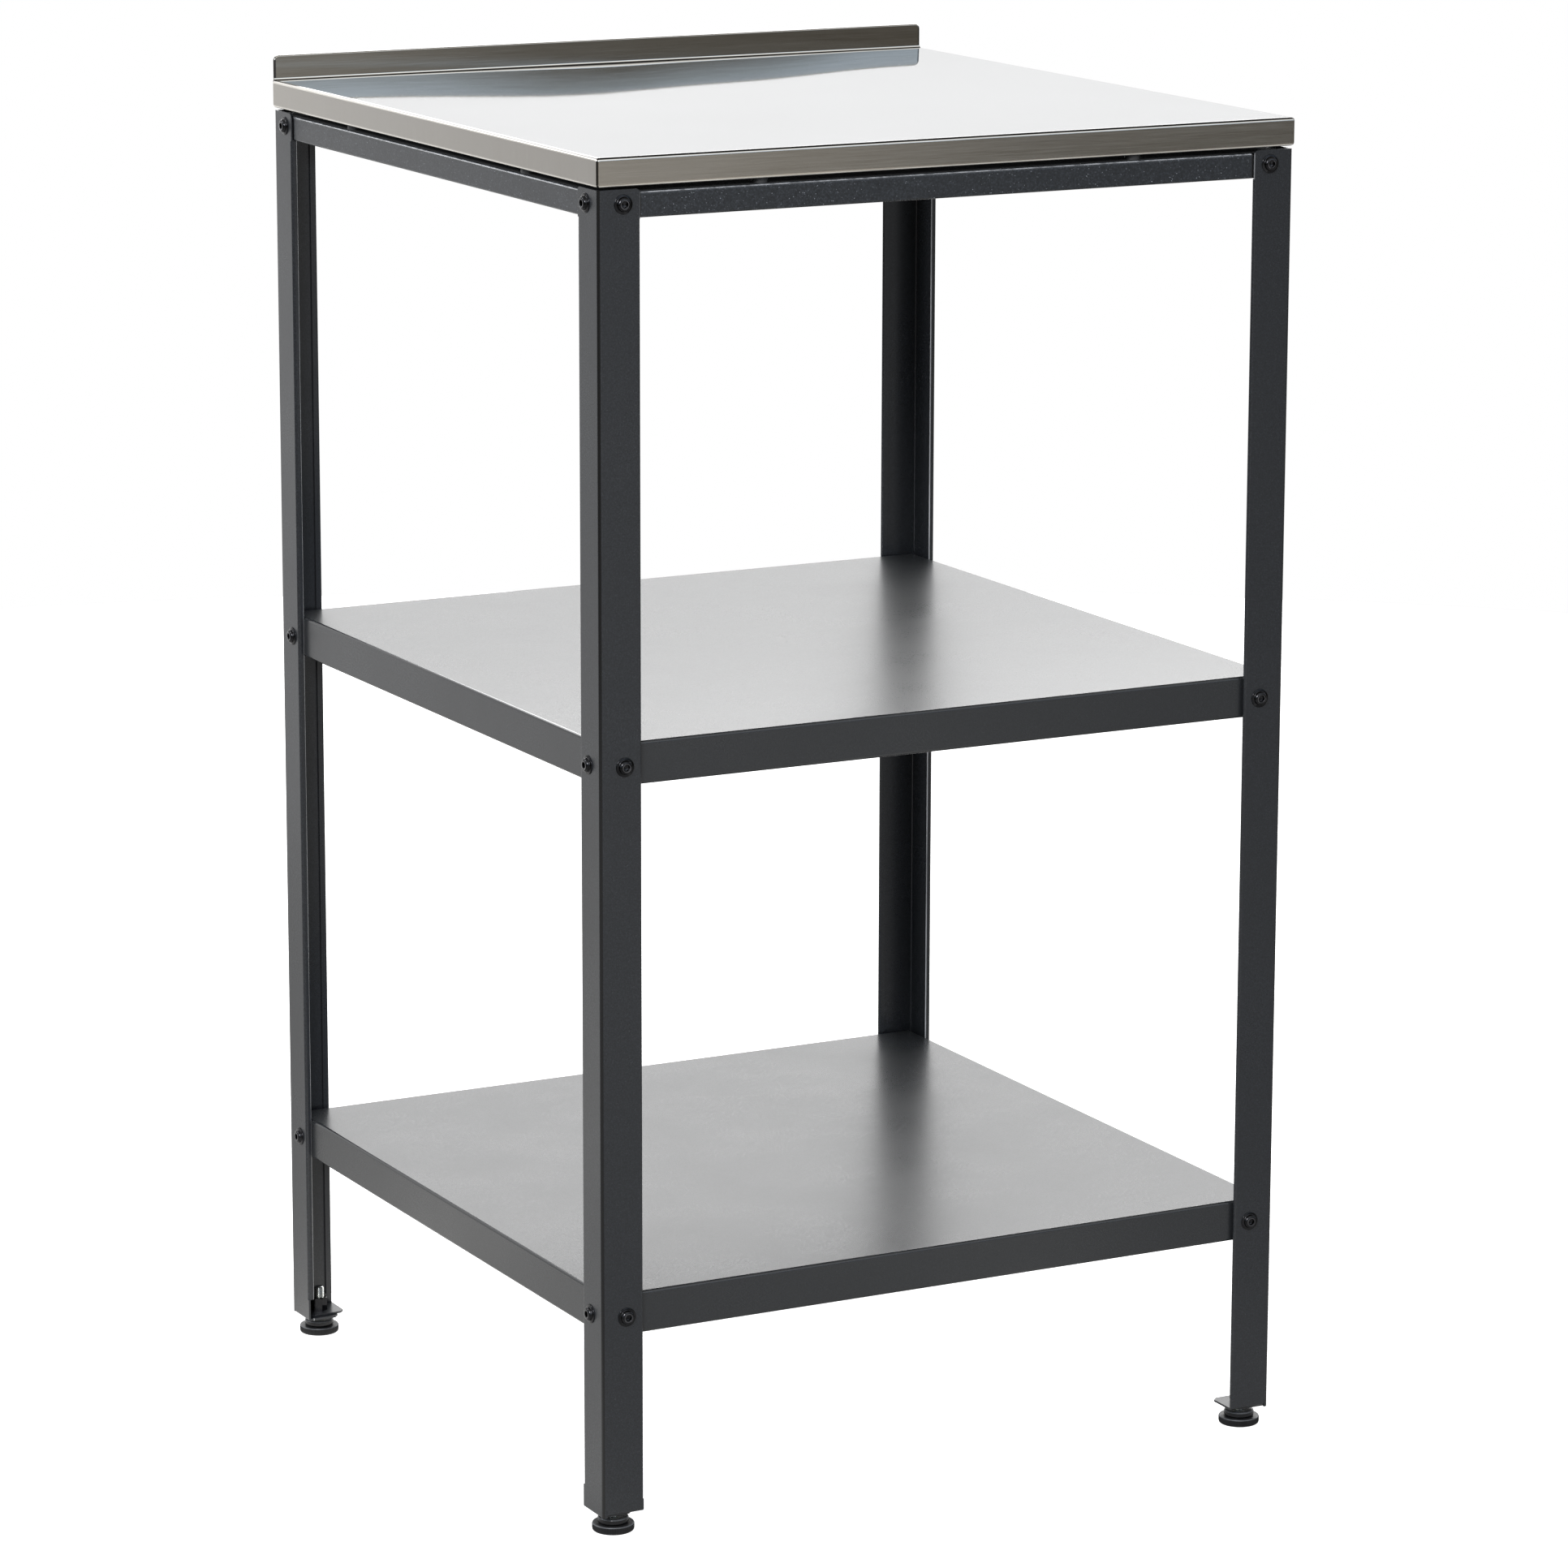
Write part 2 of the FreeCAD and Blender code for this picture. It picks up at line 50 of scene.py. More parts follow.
# ------------------------------------------------------------------ node helpers
class Tree:
    """Small wrapper that makes nodes and links them in one call."""

    def __init__(self, tree):
        self.t = tree
        self.t.nodes.clear()

    def n(self, kind, **kw):
        node = self.t.nodes.new(kind)
        ins = kw.pop("ins", {})
        for k, v in kw.items():
            setattr(node, k, v)
        for k, v in ins.items():
            sock = node.inputs[k]
            if isinstance(v, bpy.types.NodeSocket):
                self.t.links.new(v, sock)
            else:
                sock.default_value = v
        return node

    def math(self, op, a, b=None, c=None, clamp=False):
        node = self.t.nodes.new("ShaderNodeMath")
        node.operation = op
        node.use_clamp = clamp
        for i, v in enumerate((a, b, c)):
            if v is None:
                continue
            if isinstance(v, bpy.types.NodeSocket):
                self.t.links.new(v, node.inputs[i])
            else:
                node.inputs[i].default_value = v
        return node.outputs[0]

    def vmath(self, op, a, b=None):
        node = self.t.nodes.new("ShaderNodeVectorMath")
        node.operation = op
        for i, v in enumerate((a, b)):
            if v is None:
                continue
            if isinstance(v, bpy.types.NodeSocket):
                self.t.links.new(v, node.inputs[i])
            else:
                node.inputs[i].default_value = v
        return node.outputs["Value"] if op in ("DOT_PRODUCT", "LENGTH") else node.outputs["Vector"]

    def ramp(self, fac, stops, interp="LINEAR"):
        node = self.t.nodes.new("ShaderNodeValToRGB")
        node.color_ramp.interpolation = interp
        els = node.color_ramp.elements
        while len(els) > 1:
            els.remove(els[-1])
        for i, (p, c) in enumerate(stops):
            if not isinstance(c, (tuple, list)):
                c = (c, c, c)
            e = els[0] if i == 0 else els.new(p)
            e.position = p
            e.color = (*c[:3], 1.0)
        self.t.links.new(fac, node.inputs[0])
        return node.outputs["Color"]

    def maprange(self, v, a, b, c=0.0, d=1.0, kind="LINEAR"):
        node = self.t.nodes.new("ShaderNodeMapRange")
        node.interpolation_type = kind
        self.t.links.new(v, node.inputs["Value"])
        for k, x in (("From Min", a), ("From Max", b), ("To Min", c), ("To Max", d)):
            if isinstance(x, bpy.types.NodeSocket):
                self.t.links.new(x, node.inputs[k])
            else:
                node.inputs[k].default_value = x
        return node.outputs["Result"]

    def mix(self, fac, a, b, kind="MIX", data="RGBA"):
        node = self.t.nodes.new("ShaderNodeMix")
        node.data_type = data
        if data == "RGBA":
            node.blend_type = kind
            i0, i1, o = 6, 7, 2
        elif data == "VECTOR":
            i0, i1, o = 4, 5, 1
        else:
            i0, i1, o = 2, 3, 0
        for i, v in ((0, fac), (i0, a), (i1, b)):
            if isinstance(v, bpy.types.NodeSocket):
                self.t.links.new(v, node.inputs[i])
            elif v is not None:
                if data == "RGBA" and i and not isinstance(v, (tuple, list)):
                    v = (v, v, v, 1.0)
                elif data == "RGBA" and i and len(v) == 3:
                    v = (*v, 1.0)
                node.inputs[i].default_value = v
        return node.outputs[o]

    def link(self, a, b):
        self.t.links.new(a, b)


def new_material(name):
    m = bpy.data.materials.new(name)
    m.use_nodes = True
    return m, Tree(m.node_tree)


def noise(t, vec, scale, detail=2.0, rough=0.5, distortion=0.0):
    return t.n("ShaderNodeTexNoise", ins={"Vector": vec, "Scale": scale, "Detail": detail, "Roughness": rough,
                                           "Distortion": distortion}).outputs["Fac"]


def stretched(t, vec, sx, sy, sz):
    return t.vmath("MULTIPLY", vec, (sx, sy, sz))


# ------------------------------------------------------------------ materials
def make_stainless(name, top_rough=0.030, side_rough=0.22, wave=True):
    m, t = new_material(name)
    out = t.n("ShaderNodeOutputMaterial")
    bsdf = t.n("ShaderNodeBsdfPrincipled")
    t.link(bsdf.outputs[0], out.inputs[0])
    tc = t.n("ShaderNodeTexCoord").outputs["Object"]
    geo = t.n("ShaderNodeNewGeometry")
    sep = t.n("ShaderNodeSeparateXYZ", ins={0: geo.outputs["Normal"]})
    nx = t.math("ABSOLUTE", sep.outputs[0])
    ny = t.math("ABSOLUTE", sep.outputs[1])
    nz = t.math("ABSOLUTE", sep.outputs[2])
    is_side = t.maprange(nx, 0.6, 0.8)        # left and right skirts: the grain runs up and down
    is_front = t.maprange(ny, 0.6, 0.8)
    is_top = t.maprange(nz, 0.75, 0.95)
    is_bend = t.maprange(t.math("MAXIMUM", nx, t.math("MAXIMUM", ny, nz)), 0.998, 0.985)
    pos = t.n("ShaderNodeSeparateXYZ", ins={0: tc})
    # inner faces of the folded sheet
    ax = t.math("ABSOLUTE", pos.outputs[0])
    ay = t.math("ABSOLUTE", pos.outputs[1])
    inner = t.math("MULTIPLY", t.math("LESS_THAN", ax, 0.27412), t.math("LESS_THAN", ay, 0.27412))
    inner = t.math("MULTIPLY", inner, t.math("LESS_THAN", pos.outputs[2], 0.9695))
    # grain: long thin streaks along X, and along Z on the sides
    def streaks(k, K, detail):
        a = noise(t, stretched(t, tc, k, K, K), 1.0, detail, 0.6)
        b = noise(t, stretched(t, tc, K, K, k), 1.0, detail, 0.6)
        return t.mix(is_side, a, b, data="FLOAT")
    fine = streaks(34.0, 2600.0, 3.0)
    mid = streaks(16.0, 1100.0, 2.0)
    wide = streaks(7.0, 420.0, 1.0)
    cloud = noise(t, tc, 7.0, 3.0, 0.55)
    mixed = t.math("ADD", t.math("MULTIPLY", fine, 0.5), t.math("ADD", t.math("MULTIPLY", mid, 0.35), t.math("MULTIPLY", wide, 0.15)))
    mixed = t.mix(t.math("MULTIPLY", is_side, 0.55), mixed, 0.5, data="FLOAT")
    # colour; painted light by face direction: the front faces get a warmer copy and the top a brighter, cooler copy of
    # the steel colour
    base = t.ramp(mixed, [(0.30, (0.410, 0.386, 0.350)), (0.5, (0.485, 0.464, 0.430)), (0.70, (0.555, 0.538, 0.508))])
    base = t.mix(is_front, base, t.mix(1.0, base, (1.03, 0.99, 0.925), "MULTIPLY"))
    cool = t.ramp(mixed, [(0.30, (0.66, 0.67, 0.68)), (0.5, (0.685, 0.695, 0.705)), (0.72, (0.71, 0.72, 0.73))])
    col = t.mix(is_top, base, cool)
    col = t.mix(t.maprange(cloud, 0.35, 0.7, 0.0, 0.10), col, (0.42, 0.41, 0.40))
    # painted shade: the inner faces of the folded sheet are painted near black
    col = t.mix(t.math("MULTIPLY", inner, 0.86), col, (0.030, 0.030, 0.031))
    bsdf.inputs["Metallic"].default_value = 1.0
    # roughness
    rs = t.maprange(mixed, 0.3, 0.7, side_rough - 0.03, side_rough + 0.04)
    rt = t.maprange(mixed, 0.3, 0.7, top_rough - 0.008, top_rough + 0.012)
    rough = t.mix(is_top, rs, rt, data="FLOAT")
    above = t.math("MULTIPLY", is_front, t.maprange(pos.outputs[2], 0.9706, 0.9712))
    rough = t.math("MULTIPLY", rough, t.mix(above, 1.0, 0.36, data="FLOAT"))
    rough = t.mix(is_bend, rough, 0.10, data="FLOAT")
    # the folds: painted highlights and a painted dark reflection band along the folds, broken up by noise
    z = pos.outputs[2]
    rim = t.math("MAXIMUM", t.math("GREATER_THAN", ax, 0.27268), t.math("LESS_THAN", pos.outputs[1], -0.27268))
    fold_line_noise = noise(t, stretched(t, tc, 26.0, 26.0, 26.0), 1.0, 2.0)
    # painted highlight: a light line along the lower fold of the skirts
    low_fold = t.math("MULTIPLY", t.maprange(z, 0.9514, 0.9510), t.math("SUBTRACT", 1.0, inner))
    col = t.mix(t.math("MULTIPLY", low_fold, t.maprange(fold_line_noise, 0.3, 0.6, 0.75, 1.0)), col, (0.88, 0.84, 0.76))
    # painted dark reflection: the crest of the top fold, where it turns from the worktop, is painted dark
    crest = t.math("MULTIPLY", rim, t.maprange(z, 0.96978, 0.96984))
    col = t.mix(t.math("MULTIPLY", crest, t.maprange(nz, 0.9998, 0.9990)), col, (0.15, 0.145, 0.137))
    # painted dark reflection: a near-black band on the top fold next to the worktop
    dark_fold = t.math("MULTIPLY", rim, t.math("MULTIPLY", t.maprange(z, 0.96990, 0.96980), t.maprange(z, 0.96878, 0.96890)))
    col = t.mix(t.math("MULTIPLY", dark_fold, t.mix(is_side, t.maprange(fold_line_noise, 0.3, 0.6, 0.90, 1.0), 0.55, data="FLOAT")), col, (0.020, 0.020, 0.020))
    # painted highlight: a light band on the top fold below the dark one
    light_fold = t.math("MULTIPLY", rim, t.math("MULTIPLY", t.maprange(z, 0.96890, 0.96876), t.maprange(z, 0.96770, 0.96790)))
    col = t.mix(t.math("MULTIPLY", light_fold, t.maprange(fold_line_noise, 0.3, 0.6, 0.75, 1.0)), col, (0.95, 0.92, 0.86))
    # the painted highlight on the lower fold is made partly non-metallic, so that it takes diffuse light from the floor
    t.link(t.math("SUBTRACT", 1.0, t.math("MULTIPLY", low_fold, t.maprange(fold_line_noise, 0.3, 0.6, 0.45, 0.75))), bsdf.inputs["Metallic"])
    # painted shade: the faces in the seams at the front corners, below the top, are painted near black
    groove = t.math("MULTIPLY", t.math("LESS_THAN", t.math("ADD", ax, ay), 0.54812), t.math("MULTIPLY", t.math("GREATER_THAN", ax, 0.2732), t.math("GREATER_THAN", ay, 0.2732)))
    groove = t.math("MULTIPLY", groove, t.math("LESS_THAN", z, 0.96905))
    col = t.mix(groove, col, (0.006, 0.006, 0.006))
    # the cove at the foot of the upstand: a painted dark line where it meets the worktop, and a painted highlight above
    # it
    cove = t.math("MULTIPLY", t.math("GREATER_THAN", pos.outputs[1], 0.27115), t.math("MULTIPLY", t.math("GREATER_THAN", z, 0.97001), t.math("LESS_THAN", z, 0.97162)))
    col = t.mix(t.math("MULTIPLY", cove, t.maprange(z, 0.97052, 0.97044)), col, (0.012, 0.012, 0.012))
    col = t.mix(t.math("MULTIPLY", cove, t.maprange(z, 0.97044, 0.97056)), col, (0.96, 0.93, 0.86))
    rough = t.mix(inner, rough, 0.55, data="FLOAT")
    t.link(col, bsdf.inputs["Base Color"])
    t.link(rough, bsdf.inputs["Roughness"])
    bsdf.inputs["Anisotropic"].default_value = 0.75
    tan = t.mix(is_front, (0.0, 1.0, 0.0), (0.0, 0.0, 1.0), data="VECTOR")
    t.link(tan, bsdf.inputs["Tangent"])
    # bump: grain everywhere, and the sheet's slight waviness on the worktop
    grain_h = t.math("MULTIPLY", mixed, t.mix(is_top, 1.0, 0.02, data="FLOAT"))
    bump = t.n("ShaderNodeBump", ins={"Strength": 1.0, "Distance": 0.000012, "Height": grain_h})
    if wave:
        # the slope at the rear changes along the sheet, which is pulled flat by its folds, and dies out towards the front
        back = t.math("SUBTRACT", 0.2728, pos.outputs[1])
        u = t.maprange(t.math("ADD", pos.outputs[0], t.math("MULTIPLY", back, 0.527)), -0.275, 0.275)
        slope = t.ramp(u, [(0.0, 0.57), (0.162, 0.550), (0.282, 0.490), (0.403, 0.390), (0.523, 0.330), (0.644, 0.440), (0.765, 0.450), (0.885, 0.61), (0.976, 0.635), (1.0, 0.64)], "B_SPLINE")
        slope = t.math("MULTIPLY", t.math("SUBTRACT", slope, 0.5), 0.20)
        run = t.math("SUBTRACT", t.math("EXPONENT", t.math("MULTIPLY", back, -1.0 / 0.25)), 1.0)
        h = t.math("MULTIPLY", slope, t.math("MULTIPLY", run, 0.25))
        soft = t.math("MULTIPLY", noise(t, stretched(t, tc, 3.2, 5.5, 1.0), 1.0, 1.0), 0.0002)
        h = t.math("MULTIPLY", t.math("ADD", h, soft), is_top)
        # the upstand bows back a little towards its top
        up = t.maprange(pos.outputs[2], 0.9716, 0.9884)
        lean = t.math("ADD", t.math("MULTIPLY", t.math("POWER", up, 2.0), -0.0168 * 0.024 / 2), t.math("MULTIPLY", up, -0.0168 * 0.019))
        lean = t.math("MULTIPLY", above, lean)
        h = t.math("ADD", h, lean)
        bump = t.n("ShaderNodeBump", ins={"Strength": 1.0, "Distance": 1.0, "Height": h, "Normal": bump.outputs[0]})
    t.link(bump.outputs[0], bsdf.inputs["Normal"])
    return m


def make_coat(name, base=(0.030, 0.032, 0.036), light=(0.050, 0.052, 0.056), rough=0.44, grain=1300.0, amp=0.00003,
              glint_specks=0.0, peel=0.0, glint_speck_col=(0.16, 0.165, 0.17), glint_speck_scale=820.0, ior=1.5, spot=0.30, bend=None, lips=False, shaded_top=None):
    """Fine-texture powder coat."""
    m, t = new_material(name)
    out = t.n("ShaderNodeOutputMaterial")
    bsdf = t.n("ShaderNodeBsdfPrincipled")
    t.link(bsdf.outputs[0], out.inputs[0])
    tc = t.n("ShaderNodeTexCoord").outputs["Object"]
    a = noise(t, tc, grain, 2.0, 0.6)
    b = noise(t, tc, grain * 0.38, 2.0, 0.5)
    cloud = noise(t, tc, 11.0, 3.0, 0.6)
    c = noise(t, tc, grain * 0.62, 1.0, 0.5)
    tex = t.math("ADD", t.math("MULTIPLY", a, 0.5), t.math("ADD", t.math("MULTIPLY", b, 0.2), t.math("MULTIPLY", c, 0.3)))
    col = t.mix(t.maprange(tex, 0.38, 0.62), base, light)
    # grit of the coat: small darker and lighter spots
    col = t.mix(t.maprange(c, 0.44, 0.34, 0.0, spot), col, tuple(x * 0.45 for x in base))
    col = t.mix(t.maprange(c, 0.57, 0.68, 0.0, spot), col, tuple(x * 2.0 for x in light))
    col = t.mix(t.maprange(cloud, 0.3, 0.7, 0.0, 0.22), col, tuple(x * 0.72 for x in base))
    # painted glints: light specks mixed into the coat colour stand in for tiny highlights
    if glint_specks > 0:
        v = t.n("ShaderNodeTexVoronoi", ins={"Vector": tc, "Scale": glint_speck_scale, "Randomness": 1.0})
        dots = t.maprange(v.outputs["Distance"], 0.12, 0.26, 1.0, 0.0)
        keep = t.maprange(noise(t, tc, 620.0, 1.0), 0.56, 0.64)
        dots = t.math("MULTIPLY", t.math("MULTIPLY", dots, keep), glint_specks)
        col = t.mix(dots, col, glint_speck_col)
    px, py, pz = t.n("ShaderNodeSeparateXYZ", ins={0: tc}).outputs
    if lips:
        # painted highlight: the lips' end edges are painted light
        ax = t.math("ABSOLUTE", px)
        ay = t.math("ABSOLUTE", py)
        e = t.math("MULTIPLY", t.math("LESS_THAN", ax, FX - 0.0045 + 0.00048), t.math("GREATER_THAN", ax, FX - 0.0046))
        e = t.math("MULTIPLY", e, t.math("MULTIPLY", t.math("LESS_THAN", ay, FX - 0.0312 + 0.0012), t.math("GREATER_THAN", ay, FX - 0.0313)))
        e = t.math("MULTIPLY", e, t.maprange(noise(t, stretched(t, tc, 60.0, 60.0, 18.0), 1.0, 2.0), 0.30, 0.55, 0.45, 1.0))
        col = t.mix(e, col, (0.60, 0.605, 0.62))
        # painted highlight: a light line on the flange's edge over the rail
        e = t.math("MULTIPLY", t.maprange(ax, FX - 0.0312, FX - 0.0315), t.math("GREATER_THAN", ax, FX - 0.0321))
        e = t.math("MULTIPLY", e, t.math("MULTIPLY", t.math("GREATER_THAN", ay, FX - 0.0007), t.math("GREATER_THAN", pz, 0.9275)))
        col = t.mix(e, col, (0.15, 0.153, 0.16))
        # painted shade: the outer corner is painted near black
        k = t.math("MULTIPLY", t.maprange(ax, FX - 0.0019, FX - 0.0015), t.maprange(ay, FX - 0.0019, FX - 0.0015))
        col = t.mix(k, col, (0.0022, 0.0022, 0.0025))
    if shaded_top:
        # painted highlight: a light line on the top fold; painted shade where the rails go under the legs' edges
        # follows
        e = t.math("MULTIPLY", t.maprange(pz, 0.94478, 0.94490), t.maprange(pz, 0.94560, 0.94548))
        e = t.math("MULTIPLY", e, t.maprange(noise(t, stretched(t, tc, 160.0, 160.0, 30.0), 1.0, 3.0), 0.38, 0.60, 0.35, 1.0))
        col = t.mix(e, col, (0.34, 0.35, 0.37))
        # painted shade: near-black lines beside the legs' edges
        ax = t.math("ABSOLUTE", px)
        ay = t.math("ABSOLUTE", py)
        near_x = t.math("MULTIPLY", t.maprange(ax, FX - 0.0334, FX - 0.0329), t.math("GREATER_THAN", ay, FX - 0.0032))
        near_y = t.math("MULTIPLY", t.maprange(ay, FX - 0.0327, FX - 0.0322), t.math("GREATER_THAN", ax, FX - 0.0032))
        col = t.mix(t.math("MAXIMUM", near_x, near_y), col, (0.0015, 0.0015, 0.0018))
        # painted shade: above this height, under the worktop, the rail is painted near black
        up = t.math("GREATER_THAN", pz, shaded_top)
        col = t.mix(up, col, (0.004, 0.004, 0.0045))
    t.link(col, bsdf.inputs["Base Color"])
    bsdf.inputs["Metallic"].default_value = 0.0
    r = t.maprange(tex, 0.3, 0.7, rough + 0.05, rough - 0.05)
    r = t.math("ADD", r, t.maprange(cloud, 0.3, 0.7, -0.02, 0.02))
    if bend:
        # the coat flows out thin and glossy over the folded edges
        nrm = t.n("ShaderNodeNewGeometry").outputs["Normal"]
        sx, sy, sz = t.n("ShaderNodeSeparateXYZ", ins={0: nrm}).outputs
        top = t.math("MAXIMUM", t.math("ABSOLUTE", sx), t.math("MAXIMUM", t.math("ABSOLUTE", sy), t.math("ABSOLUTE", sz)))
        r = t.mix(t.maprange(top, 0.995, 0.975), r, bend, data="FLOAT")
    if shaded_top:
        r = t.mix(up, r, 0.95, data="FLOAT")
    t.link(r, bsdf.inputs["Roughness"])
    bsdf.inputs["IOR"].default_value = ior
    h = tex
    bump = t.n("ShaderNodeBump", ins={"Strength": 1.0, "Distance": amp, "Height": h})
    if peel > 0:
        p = noise(t, tc, 210.0, 2.0, 0.5)
        bump = t.n("ShaderNodeBump", ins={"Strength": 1.0, "Distance": peel, "Height": p, "Normal": bump.outputs[0]})
    t.link(bump.outputs[0], bsdf.inputs["Normal"])
    return m


def make_black_screw(name):
    m, t = new_material(name)
    out = t.n("ShaderNodeOutputMaterial")
    bsdf = t.n("ShaderNodeBsdfPrincipled")
    t.link(bsdf.outputs[0], out.inputs[0])
    tc = t.n("ShaderNodeTexCoord").outputs["Object"]
    a = noise(t, tc, 900.0, 3.0, 0.6)
    b = noise(t, tc, 160.0, 2.0, 0.5)
    ring_highlight = t.n("ShaderNodeAttribute", attribute_name="ring_highlight").outputs["Fac"]
    col = t.mix(t.maprange(b, 0.3, 0.7), (0.026, 0.026, 0.028), (0.046, 0.046, 0.049))
    # painted highlight: the flat rings round the socket are painted lighter
    col = t.mix(t.math("MULTIPLY", ring_highlight, t.maprange(b, 0.3, 0.6, 0.55, 1.0)), col, (0.17, 0.17, 0.18))
    t.link(col, bsdf.inputs["Base Color"])
    bsdf.inputs["Metallic"].default_value = 1.0
    t.link(t.maprange(a, 0.3, 0.7, 0.08, 0.13), bsdf.inputs["Roughness"])
    bump = t.n("ShaderNodeBump", ins={"Strength": 1.0, "Distance": 0.000004, "Height": a})
    t.link(bump.outputs[0], bsdf.inputs["Normal"])
    return m


def make_zinc(name, tint=(0.80, 0.80, 0.77), rough=0.17):
    m, t = new_material(name)
    out = t.n("ShaderNodeOutputMaterial")
    bsdf = t.n("ShaderNodeBsdfPrincipled")
    t.link(bsdf.outputs[0], out.inputs[0])
    tc = t.n("ShaderNodeTexCoord").outputs["Object"]
    a = noise(t, tc, 700.0, 3.0, 0.6)
    b = noise(t, tc, 120.0, 3.0, 0.6)
    cold = tuple(x * y for x, y in zip(tint, (0.86, 0.90, 0.96)))
    warm = tuple(x * y for x, y in zip(tint, (1.06, 1.03, 0.93)))
    col = t.mix(t.maprange(b, 0.35, 0.65), cold, warm)
    t.link(t.mix(t.maprange(a, 0.3, 0.7, 0.0, 0.35), col, tuple(x * 0.7 for x in tint)), bsdf.inputs["Base Color"])
    bsdf.inputs["Metallic"].default_value = 1.0
    t.link(t.maprange(a, 0.3, 0.7, rough - 0.04, rough + 0.05), bsdf.inputs["Roughness"])
    bump = t.n("ShaderNodeBump", ins={"Strength": 1.0, "Distance": 0.000015, "Height": a})
    t.link(bump.outputs[0], bsdf.inputs["Normal"])
    return m


def make_plastic(name, base, light, rough, grain=1500.0, amp=0.00002, collar=None, ior=1.52):
    m, t = new_material(name)
    out = t.n("ShaderNodeOutputMaterial")
    bsdf = t.n("ShaderNodeBsdfPrincipled")
    t.link(bsdf.outputs[0], out.inputs[0])
    tc = t.n("ShaderNodeTexCoord").outputs["Object"]
    a = noise(t, tc, grain, 2.0, 0.6)
    b = noise(t, tc, 130.0, 3.0, 0.55)
    col = t.mix(t.maprange(b, 0.3, 0.7), base, light)
    r = t.math("ADD", t.maprange(a, 0.3, 0.7, -0.05, 0.05), t.maprange(b, 0.3, 0.7, rough - 0.03, rough + 0.05))
    if collar:
        # polished collar above the ribbed rim
        z = t.n("ShaderNodeSeparateXYZ", ins={0: tc}).outputs[2]
        r = t.mix(t.maprange(z, 0.0062, 0.0066), r, collar, data="FLOAT")
        # painted highlights: light lines on the edges of the rim and of the collar
        rim = t.math("MULTIPLY", t.maprange(z, 0.00490, 0.00515), t.maprange(z, 0.00568, 0.00560))
        top = t.math("MULTIPLY", t.maprange(z, 0.00925, 0.00945), t.maprange(z, 0.01032, 0.01020))
        edge = t.math("MULTIPLY", t.math("MAXIMUM", rim, t.math("MULTIPLY", top, 0.8)), t.maprange(b, 0.3, 0.65, 0.45, 1.0))
        col = t.mix(edge, col, (0.115, 0.12, 0.13))
        # painted shade: the groove under the collar is painted black
        deep = t.math("MULTIPLY", t.maprange(z, 0.00572, 0.00584), t.maprange(z, 0.00672, 0.00660))
        col = t.mix(deep, col, (0.003, 0.003, 0.003))
        t.link(deep, bsdf.inputs["Metallic"])
    t.link(col, bsdf.inputs["Base Color"])
    t.link(r, bsdf.inputs["Roughness"])
    bsdf.inputs["IOR"].default_value = ior
    bump = t.n("ShaderNodeBump", ins={"Strength": 1.0, "Distance": amp, "Height": a})
    t.link(bump.outputs[0], bsdf.inputs["Normal"])
    return m


MAT = {
    "stainless": make_stainless("brushed_stainless"),
    "stainless_plain": make_stainless("brushed_stainless_plain", top_rough=0.30, side_rough=0.34, wave=False),
    "leg_coat": make_coat("leg_powder_coat", base=(0.0122, 0.0137, 0.0165), light=(0.019, 0.0210, 0.0248), rough=0.30, grain=1500.0, amp=0.00003, glint_specks=0.25, spot=0.40, bend=0.20, ior=1.62, lips=True),
    "rail_coat": make_coat("rail_powder_coat", base=(0.0105, 0.0128, 0.0162), light=(0.0195, 0.0222, 0.0268), rough=0.33, ior=1.62, grain=1300.0, amp=0.00004, glint_specks=0.9, spot=0.60, glint_speck_col=(0.34, 0.36, 0.40), glint_speck_scale=620.0, bend=0.25, shaded_top=0.94592),
    "shelf_coat": make_coat("shelf_powder_coat", base=(0.0145, 0.0157, 0.0178), light=(0.021, 0.0226, 0.025), rough=0.30, grain=1700.0, amp=0.000006, glint_specks=0.10, peel=0.000008, ior=1.68, spot=0.22, bend=0.13),
    "black_screw": make_black_screw("black_screw_finish"),
    "black_nut": make_black_screw("black_rivet_finish"),
    "zinc": make_zinc("zinc_plate"),
    "spacer_nylon": make_plastic("spacer_nylon", (0.030, 0.030, 0.031), (0.042, 0.042, 0.043), 0.48),
    "pad": make_plastic("moulded_pad", (0.008, 0.008, 0.009), (0.014, 0.014, 0.015), 0.36, collar=0.15, ior=1.40),
}

slot_of = {}
for n, o in nodes.items():
    for s in o.material_slots:
        slot_of[n] = s.material.name.split(".")[0] if s.material else None
for n, o in nodes.items():
    slot = slot_of[n]
    if slot in MAT:
        o.material_slots[0].material = MAT[slot]
    o.data.set_sharp_from_angle(angle=math.radians(32))


# ------------------------------------------------------------------ meshes
def mesh_object(name, bm, mat, smooth_angle=32.0):
    me = bpy.data.meshes.new(name)
    bm.to_mesh(me)
    bm.free()
    for p in me.polygons:
        p.use_smooth = True
    me.set_sharp_from_angle(angle=math.radians(smooth_angle))
    me.materials.append(mat)
    o = bpy.data.objects.new(name, me)
    bpy.context.scene.collection.objects.link(o)
    return o


